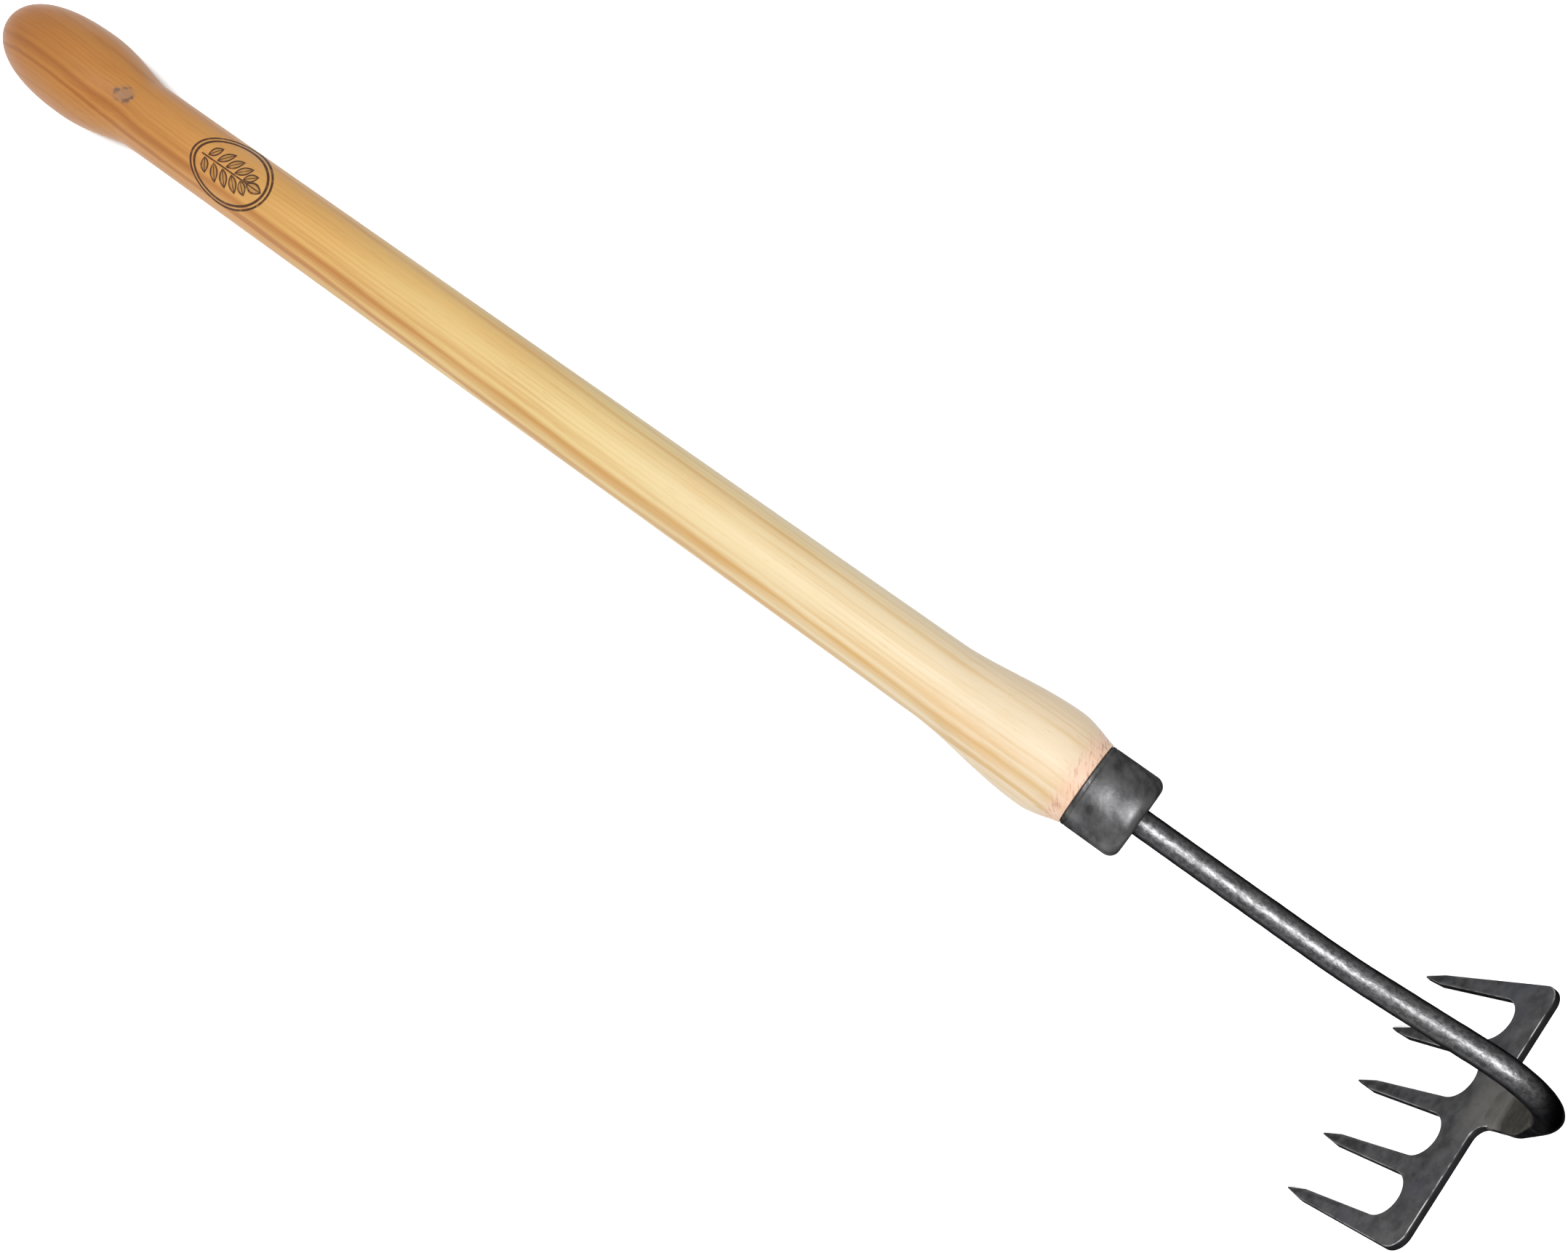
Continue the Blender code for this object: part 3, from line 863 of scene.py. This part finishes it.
def wood_material():
    s = Shader("lacquered_ash")
    across, height = marked_side(s)
    knot_body, knot_rim, shove = knot_shapes(s, across, s.step(height, 0.0, 4.0))
    depth, late = year_rings(s, shove)
    tone, fibre = wood_tone(s, depth, late)

    # clear wood
    share = s.mul(s.add(s.x, SHAFT_BACK), 1 / SHAFT_BACK)
    share = s.add(share, s.swing((0.008, 0.05, 0.05), 0.030, 2.0, seed=6.0))
    pale = s.ramp(share, PALE_WOOD)
    dark = s.ramp(share, DARK_WOOD)
    colour = s.mix(s.step(tone, -0.05, 1.0), pale, dark)
    ruddy = s.step(s.noise((0.009, 0.07, 0.07), 2.0, 0.5, seed=19.0), 0.45, 0.75)
    colour = s.mix(s.mul(ruddy, 0.55), colour, RUDDY_TINT, "MULTIPLY")

    # pores: short dark dashes along the grain
    pores = s.step(s.noise((0.11, 2.4, 2.4), 1.0, 0.5, seed=10.0), 0.64, 0.76)
    colour = s.mix(s.mul(pores, 0.30), colour, dark)

    # knots, greyer than the wood about them
    colour = s.mix(s.mul(knot_body, 0.75), colour, KNOT_COLOUR)
    colour = s.mix(s.mul(knot_rim, 0.80), colour, KNOT_RIM_COLOUR)
    colour = s.mix(s.mul(pin_knots(s), 0.75), colour, PIN_KNOT_COLOUR)

    # wear at the ferrule
    bruise, scratch = bruised_end(s)
    colour = s.mix(s.mul(bruise, 0.55), colour, BRUISE_COLOUR)
    colour = s.mix(s.mul(scratch, 0.80), colour, SCRATCH_COLOUR)

    # the burnt mark, patchy, on faintly scorched wood
    mask, inside = burnt_mark(s, across, height)
    patchy = s.step(s.noise((0.45, 0.45, 0.45), 3.0, 0.6, seed=13.0), 0.26, 0.50, 0.65, 1.0)
    burn = s.mul(mask, patchy)
    colour = s.mix(s.mul(inside, 0.18), colour, SCORCH_COLOUR)
    colour = s.mix(s.mul(burn, 0.97), colour, BURN_COLOUR)

    # relief and sheen
    relief = s.add(s.mul(late, -0.45), fibre)
    relief = s.sub(relief, s.mul(pores, 0.9))
    relief = s.sub(relief, s.mul(mask, 5.0))
    relief = s.sub(relief, s.mul(scratch, 1.6))
    relief = s.sub(relief, s.mul(knot_rim, 0.8))
    relief = s.add(relief, s.swing((0.05, 0.16, 0.16), 0.9, 2.0, seed=14.0))
    s.bump(relief, GRAIN_DEPTH)
    rough = s.add(0.46, s.swing((0.03, 0.25, 0.25), 0.08, 3.0, seed=15.0))
    rough = s.add(rough, s.mul(s.math("MAXIMUM", burn, scratch), 0.25))
    return s.finish(colour, rough, {
        "Specular IOR Level": 0.14,
        "Coat Weight": 0.03,
        "Coat Roughness": 0.30,
    })


# ---------------------------------------------------------------- steel
CAP_TONE = (0.054, 0.054, 0.056)
CAP_TINT = (0.074, 0.062, 0.055)
BAR_TONE = (0.024, 0.024, 0.026)
BAR_TINT = (0.032, 0.030, 0.028)
SEAM_TONE = (0.072, 0.072, 0.071)
SEAM_TINT = (0.086, 0.078, 0.070)
PLATE_TONE = (0.070, 0.070, 0.072)
PLATE_TINT = (0.067, 0.068, 0.078)
WELD_BROWN_AND_LIGHT_TONE = (0.128, 0.124, 0.115)            # browned by the heat of welding; on the bar's beaten flat it also serves as painted light
LIP_COLOUR = (0.016, 0.015, 0.015)
# lighter steel of the painted sheen, laid in slanting smears
SMEAR_SHEEN_COLOUR = (0.140, 0.140, 0.143)
CHIP_COLOUR = (0.30, 0.24, 0.20)
# colour of the flakes where the painted highlight on the bar's upper side is strongest
FLAKE_HIGHLIGHT_COLOUR = (0.170, 0.170, 0.173)
# painted shade: near black for faces past the crook that turn away from the handle
CROOK_SHADE_COLOUR = (0.004, 0.004, 0.004)
PIT_COLOUR = (0.045, 0.045, 0.046)
# the plate's side faces: partly scale, partly painted shade
CUT_EDGE_SHADE_COLOUR = (0.012, 0.012, 0.013)
# the plate's rounded edges: partly wear, partly a painted highlight
WORN_EDGE_GLINT_COLOUR = (0.60, 0.60, 0.60)
STEEL_TINT = (0.12, 0.12, 0.12, 1.0)         # keeps glancing reflections dark
CAP_RELIEF = 0.00004                         # depths of the relief, in metres
BAR_RELIEF = 0.00012
SEAM_RELIEF = 0.00005
PLATE_RELIEF = 0.00004
HIGHLIGHT_SIDE = Vector((-0.17, -0.22, 0.96))   # the bar's upper side, painted brighter as a highlight
CROOK_START = 125.0                          # along the shaft, in mm
CROOK_FULL = 142.0
BEATEN_TOP = 18.0                            # heights over the shaft's axis, in mm
BEATEN_FULL = 2.0
BACK_WEAR_GLINT_START = -70.0                      # the plate's rounded edges are painted brightest above here, partly wear and partly a painted highlight
BACK_WEAR_GLINT_FULL = -60.0
HEAT_REACH = 14.0                            # how far down the plate the weld browned it, in mm


def steel_shader(name, tone, tint, roughness):
    """Blackened steel: mottled scale, faint brown and blue tempering, and a satin sheen."""
    s = Shader(name)
    mottle = s.noise((0.16, 0.16, 0.16), 4.0, 0.6, seed=21.0)
    cloud = s.noise((0.045, 0.045, 0.045), 2.0, 0.5, seed=22.0)
    dark = tuple(c * 0.70 for c in tone)
    light = tuple(c * 1.28 for c in tone)
    colour = s.mix(s.step(mottle, 0.30, 0.70), dark, light)
    colour = s.mix(s.mul(s.step(cloud, 0.50, 0.72), 0.55), colour, tint)
    grime = s.noise((0.9, 0.9, 0.9), 3.0, 0.65, seed=23.0)
    rough = s.add(roughness, s.mul(s.sub(mottle, 0.5), 0.28))
    rough = s.add(rough, s.mul(s.sub(grime, 0.5), 0.16))
    return s, colour, rough


def finish_steel(s, colour, rough):
    return s.finish(colour, rough, {"Metallic": 1.0, "Specular Tint": STEEL_TINT})


def turned_towards(s, direction):
    """Cosine between the surface normal and a direction in the tool's axes."""
    geometry = s.tree.nodes.new("ShaderNodeNewGeometry")
    dot = s.tree.nodes.new("ShaderNodeVectorMath")
    dot.operation = "DOT_PRODUCT"
    s.tree.links.new(geometry.outputs["Normal"], dot.inputs[0])
    dot.inputs[1].default_value = POSE.to_3x3() @ direction
    return dot.outputs["Value"]


def facing_masks(s):
    """Faces turned back to the handle, and faces turned away from it."""
    forward = turned_towards(s, Vector((1.0, 0.0, 0.0)))
    return s.step(forward, -0.75, -0.40, 1.0, 0.0), s.step(forward, 0.10, 0.75)


def edge_masks(s):
    """Side faces and rounded edges of the plate, told apart by how far they turn from its face."""
    square = s.math("ABSOLUTE", turned_towards(s, head_frame()[2]))
    return s.step(square, 0.35, 0.75, 1.0, 0.0), band(s, square, 0.80, 0.10, 0.18)


def ferrule_material():
    s, colour, rough = steel_shader("blackened_cap", CAP_TONE, CAP_TINT, 0.50)
    lip_end = (LIP_LENGTH - FERRULE_LENGTH) * 1000
    lip = s.step(s.x, lip_end - 0.2, lip_end + 0.2, 1.0, 0.0)
    colour = s.mix(s.mul(lip, 0.75), colour, LIP_COLOUR)

    # slanting lighter smears, a painted sheen after the cap's smudgy highlights, and chips beside the
    # lip
    along = s.mul(s.add(s.x, s.mul(s.y, 0.8)), 0.10)
    slanted = s.join(along, s.mul(s.sub(s.y, s.x), 0.05), s.mul(s.z, 0.08))
    smear_sheen = s.step(s.noise((1.0, 1.0, 1.0), 3.0, 0.6, slanted, seed=24.0), 0.34, 0.66)
    colour = s.mix(s.mul(smear_sheen, 0.80), colour, SMEAR_SHEEN_COLOUR)
    chips = s.step(s.noise((0.55, 0.40, 0.40), 2.0, 0.6, seed=31.0), 0.66, 0.72)
    chips = s.mul(chips, band(s, s.x, lip_end + 1.0, 1.0, 3.0))
    colour = s.mix(s.mul(chips, 0.7), colour, CHIP_COLOUR)
    s.bump(s.sub(s.swing((0.5, 0.5, 0.5), 1.0, 4.0, seed=25.0), chips), CAP_RELIEF)
    return finish_steel(s, colour, rough)


def rod_material():
    s, colour, rough = steel_shader("forged_bar", BAR_TONE, BAR_TINT, 0.42)

    # flakes of scale, lit up on the bar's upper side by a painted highlight
    scale = s.noise((0.55, 0.75, 0.75), 3.0, 0.65, seed=26.0)
    flake = s.add(s.mul(s.step(scale, 0.38, 0.62), 0.50), 0.30)
    painted_highlight = s.step(turned_towards(s, HIGHLIGHT_SIDE), 0.45, 0.98, 0.04, 1.0)
    colour = s.mix(s.mul(flake, painted_highlight), colour, FLAKE_HIGHLIGHT_COLOUR)

    # the beaten flat below the crook: faces turned back to the handle are painted lighter and browner,
    # partly heat tint and partly painted light over the shade that falls there
    crook = s.step(s.x, CROOK_START, CROOK_FULL)
    turned_in, turned_out = facing_masks(s)
    beaten_flat_and_light = s.mul(s.mul(s.step(s.z, BEATEN_FULL, BEATEN_TOP, 1.0, 0.0), crook), turned_in)
    colour = s.mix(s.mul(beaten_flat_and_light, 0.85), colour, WELD_BROWN_AND_LIGHT_TONE)
    # painted shade: every face past the crook's start that turns away from the handle goes near black,
    # the drop's outer side too
    colour = s.mix(s.mul(s.mul(crook, turned_out), 0.97), colour, CROOK_SHADE_COLOUR)
    grain = s.add(scale, s.mul(s.noise((1.9, 1.9, 1.9), 2.0, 0.5, seed=27.0), 0.35))
    s.bump(s.mul(grain, s.sub(1.0, s.mul(beaten_flat_and_light, 0.7))), BAR_RELIEF)
    return finish_steel(s, colour, rough)


def weld_material():
    s, colour, rough = steel_shader("dressed_weld", SEAM_TONE, SEAM_TINT, 0.50)
    colour = s.mix(0.5, colour, WELD_BROWN_AND_LIGHT_TONE)
    s.bump(s.noise((0.7, 0.7, 0.7), 3.0, 0.6, seed=28.0), SEAM_RELIEF)
    return finish_steel(s, colour, rough)


def plate_material():
    s, colour, rough = steel_shader("blackened_plate", PLATE_TONE, PLATE_TINT, 0.52)
    rolled = s.swing((0.10, 0.35, 0.10), 1.0, 3.0, seed=29.0)
    pits = s.step(s.noise((0.8, 0.8, 0.8), 2.0, 0.5, seed=30.0), 0.66, 0.80)
    colour = s.mix(s.mul(pits, 0.4), colour, PIT_COLOUR)

    # browned by the weld about the tab
    back_edge = head_frame()[0].z * 1000
    heated = s.step(s.z, back_edge - HEAT_REACH, back_edge - 2.0)
    heated = s.mul(heated, band(s, s.y, PALM_DRIFT * 1000, 5.0, 19.0))
    colour = s.mix(s.mul(heated, 0.6), colour, WELD_BROWN_AND_LIGHT_TONE)

    # side faces painted dark, partly scale and partly painted shade; rounded edges painted bright,
    # partly wear and partly a painted highlight, most along the back edge
    side_face, rounding = edge_masks(s)
    worn_glint = s.step(s.noise((0.12, 0.12, 0.12), 3.0, 0.6, seed=32.0), 0.36, 0.60)
    worn_glint = s.mul(worn_glint, s.step(s.z, BACK_WEAR_GLINT_START, BACK_WEAR_GLINT_FULL, 0.25, 0.95))
    colour = s.mix(s.mul(side_face, 0.85), colour, CUT_EDGE_SHADE_COLOUR)
    colour = s.mix(s.mul(rounding, worn_glint), colour, WORN_EDGE_GLINT_COLOUR)
    s.bump(s.sub(rolled, s.mul(pits, 1.2)), PLATE_RELIEF)
    return finish_steel(s, colour, rough)


# ---------------------------------------------------------------- floor, light and camera
def build_floor():
    mesh = bpy.data.meshes.new("floor")
    half = FLOOR_HALF_WIDTH
    corners = [(-half, -half, 0.0), (half, -half, 0.0), (half, half, 0.0), (-half, half, 0.0)]
    mesh.from_pydata(corners, [], [(0, 1, 2, 3)])
    floor = bpy.data.objects.new("floor", mesh)
    material = bpy.data.materials.new("pale_floor")
    material.use_nodes = True
    shader = material.node_tree.nodes["Principled BSDF"]
    shader.inputs["Base Color"].default_value = (FLOOR_TONE, FLOOR_TONE, FLOOR_TONE, 1.0)
    shader.inputs["Roughness"].default_value = 0.9
    shader.inputs["Specular IOR Level"].default_value = 0.1
    mesh.materials.append(material)
    bpy.context.scene.collection.objects.link(floor)


def build_light():
    world = bpy.data.worlds.new("studio")
    world.use_nodes = True
    background = world.node_tree.nodes["Background"]
    background.inputs["Color"].default_value = (1.0, 1.0, 1.0, 1.0)
    background.inputs["Strength"].default_value = SKY_STRENGTH
    bpy.context.scene.world = world

    lamp = bpy.data.lights.new("key", "AREA")
    lamp.shape = "RECTANGLE"
    lamp.size = KEY_LENGTH
    lamp.size_y = KEY_WIDTH
    lamp.energy = KEY_POWER
    key = bpy.data.objects.new("key", lamp)
    key.location = KEY_PLACE
    beam = Vector(KEY_TARGET) - Vector(KEY_PLACE)
    key.rotation_euler = beam.to_track_quat("-Z", "Y").to_euler()
    bpy.context.scene.collection.objects.link(key)


def build_camera():
    data = bpy.data.cameras.new("camera")
    data.sensor_width = SENSOR_WIDTH
    data.lens = SENSOR_WIDTH / FIELD_WIDTH
    data.clip_start = 0.01
    data.clip_end = 20.0
    camera = bpy.data.objects.new("camera", data)
    back = -GAZE.normalized()
    up = back.cross(RIGHT).normalized()
    right = up.cross(back)
    turn = Matrix((right, up, back)).transposed().to_4x4()
    camera.matrix_world = POSE @ Matrix.Translation(EYE) @ turn
    bpy.context.scene.collection.objects.link(camera)
    bpy.context.scene.camera = camera


# ---------------------------------------------------------------- build
build_handle(wood_material())
build_ferrule(ferrule_material())
build_neck(rod_material())
build_weld(weld_material())
build_head(plate_material())
build_floor()
build_light()
build_camera()
bpy.context.scene.view_settings.view_transform = "Standard"
